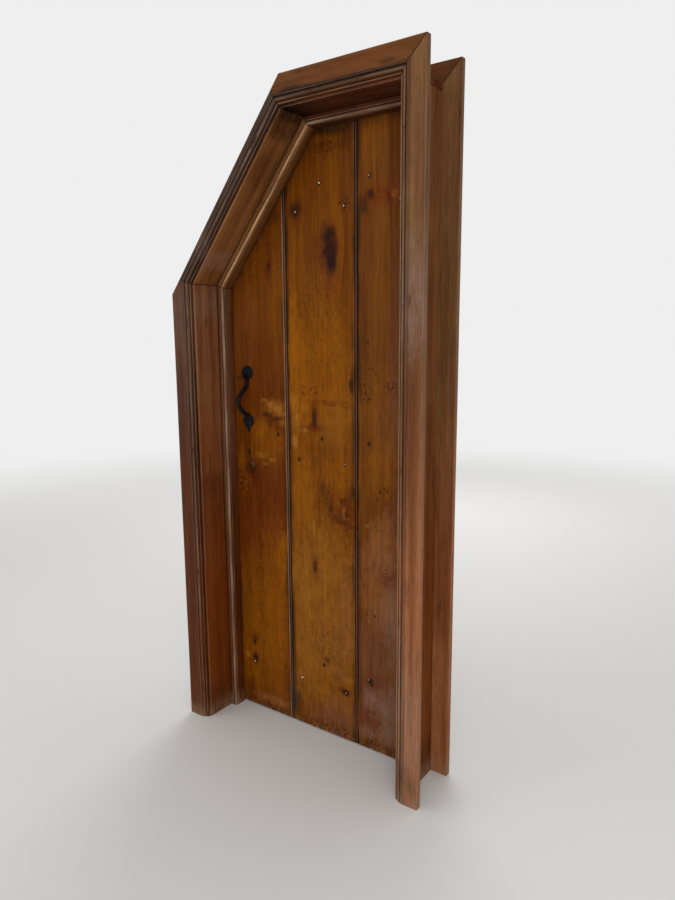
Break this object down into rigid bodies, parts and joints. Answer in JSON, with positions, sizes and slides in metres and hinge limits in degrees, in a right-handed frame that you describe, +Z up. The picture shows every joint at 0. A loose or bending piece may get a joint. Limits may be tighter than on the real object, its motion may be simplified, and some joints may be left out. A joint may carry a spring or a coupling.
{
  "type": "ledged plank door with a raked head, in its frame",
  "caption": "Interior plank door with a sloping top corner, hung in a deep moulded pine frame, with a bow handle and thumb latch.",
  "frame": {"origin": "floor level, in the middle of the overall width and depth", "axes": "+Z up, +Y towards the back, the side that the leaf opens to, +X towards the hinge side; the moulded face looks along -Y"},
  "size_m": [0.935, 0.2245, 2.0735],
  "materials": {
    "frame_pine": "dark stained pine, worn satin",
    "board_pine": "amber varnished pine, satin",
    "black_iron": "black, dull",
    "nail_iron": "dark, slightly rusted",
    "screw_steel": "blackened steel"
  },
  "bodies": {
    "frame": {"front_architrave_left": "frame_pine", "front_architrave_raking": "frame_pine", "front_architrave_head": "frame_pine", "front_architrave_right": "frame_pine", "lining_left": "frame_pine", "lining_raking": "frame_pine", "lining_head": "frame_pine", "lining_right": "frame_pine", "stop_left": "frame_pine", "stop_raking": "frame_pine", "stop_head": "frame_pine", "stop_right": "frame_pine", "back_architrave_left": "frame_pine", "back_architrave_raking": "frame_pine", "back_architrave_head": "frame_pine", "back_architrave_right": "frame_pine", "architrave_nails": "nail_iron", "upper_hinge_plate": "black_iron", "upper_hinge_pin": "black_iron", "lower_hinge_plate": "black_iron", "lower_hinge_pin": "black_iron", "upper_plate_screws": "screw_steel", "lower_plate_screws": "screw_steel", "latch_keeper": "black_iron", "keeper_screws": "screw_steel"},
    "leaf": {"board_left": "board_pine", "board_middle": "board_pine", "board_right": "board_pine", "ledge_upper": "board_pine", "ledge_middle": "board_pine", "ledge_lower": "board_pine", "clenched_nails_upper": "nail_iron", "clenched_nails_middle": "nail_iron", "clenched_nails_lower": "nail_iron", "upper_hinge_strap": "black_iron", "lower_hinge_strap": "black_iron", "upper_strap_screws": "screw_steel", "lower_strap_screws": "screw_steel", "latch_handle": "black_iron", "handle_screws": "screw_steel", "thumb_lever_pin": "black_iron", "bar_pivot_plate": "black_iron", "bar_rivet": "black_iron", "bar_guard": "black_iron", "bar_screws": "screw_steel"},
    "thumb_lever": {"thumb_lever": "black_iron"},
    "latch_bar": {"latch_bar": "black_iron"}
  },
  "joints": [
    {"name": "leaf_hinge", "type": "hinge", "parent": "frame", "child": "leaf", "pos_m": [0.386, 0.10625, 0.992], "axis": [0, 0, -1], "range_deg": [0, 110]},
    {"name": "thumb_lever_pivot", "type": "hinge", "parent": "leaf", "child": "thumb_lever", "pos_m": [-0.299, 0.06225, 1.217], "axis": [1, 0, 0], "range_deg": [0, 15]},
    {"name": "latch_bar_pivot", "type": "hinge", "parent": "leaf", "child": "latch_bar", "pos_m": [-0.235, 0.08625, 1.2293], "axis": [0, 1, 0], "range_deg": [0, 5.86]}
  ],
  "couplings": [
    {"joint": "latch_bar_pivot", "follows": "thumb_lever_pivot", "ratio": 0.3908}
  ]
}
